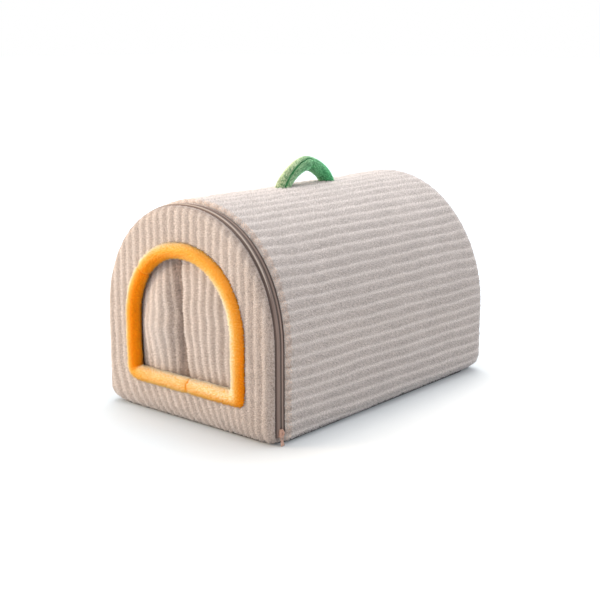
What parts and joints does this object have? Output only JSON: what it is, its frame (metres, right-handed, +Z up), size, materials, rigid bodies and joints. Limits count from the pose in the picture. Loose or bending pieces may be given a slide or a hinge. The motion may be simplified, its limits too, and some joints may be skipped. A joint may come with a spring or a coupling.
{
  "type": "soft dog house",
  "caption": "Arched soft dog house of padded wide-rib plush with a zipped front panel, a stuffed roll round its curtained doorway and a carrying loop on the crest.",
  "frame": {"origin": "centre of the overall footprint, on the floor", "axes": "+Z up, the doorway faces -Y, +X to the right of someone looking at the doorway"},
  "size_m": [0.4038, 0.5892, 0.4068],
  "materials": {
    "beige_plush": "wide-wale short plush, matt, with a soft nap",
    "base_cloth": "dark plain-woven base cloth",
    "zip_tape": "woven taupe zip tape",
    "zip_coil": "nylon coil",
    "zip_slider": "enamelled rose beige",
    "orange_plush": "short orange plush over stuffing",
    "green_plush": "short green plush over stuffing"
  },
  "bodies": {
    "root": {"base_panel": "base_cloth", "vault_cover": "beige_plush", "back_panel": "beige_plush", "front_panel": "beige_plush", "zip_tape_front": "zip_tape", "zip_tape_rear": "zip_tape", "zip_coil": "zip_coil", "zip_slider": "zip_slider", "zip_pull": "zip_slider", "door_roll_right": "orange_plush", "door_roll_left": "orange_plush", "flap_left": "beige_plush", "flap_right": "beige_plush", "handle": "green_plush"}
  },
  "joints": []
}
